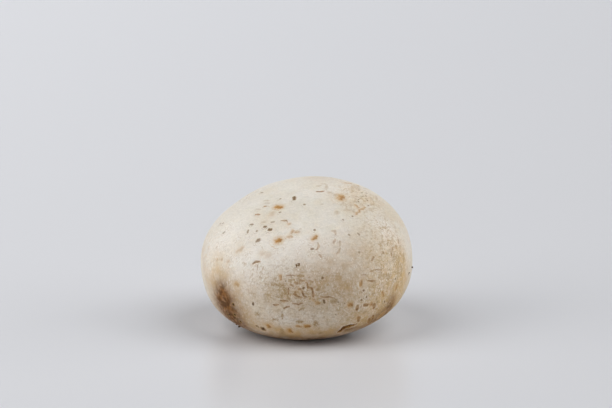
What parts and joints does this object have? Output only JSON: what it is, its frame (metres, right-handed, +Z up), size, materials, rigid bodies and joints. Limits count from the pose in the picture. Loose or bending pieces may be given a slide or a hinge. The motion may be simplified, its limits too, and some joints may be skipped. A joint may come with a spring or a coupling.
{
  "type": "button mushroom",
  "caption": "Picked closed-cup button mushroom with a flattened domed cap, inrolled margin, closed veil and short cut stem, leaning forward as it rests.",
  "frame": {"origin": "middle of the bounding box on the surface that the mushroom stands on", "axes": "+Z up, -Y front, towards which the cap leans, +X to the right seen from the front, along the longest side"},
  "size_m": [0.0716, 0.066, 0.0482],
  "materials": {
    "mushroom_skin": "satin cream-white mushroom skin with tan cracks, ochre bruises and fine wrinkles"
  },
  "bodies": {
    "root": {"button_mushroom": "mushroom_skin"}
  },
  "joints": []
}
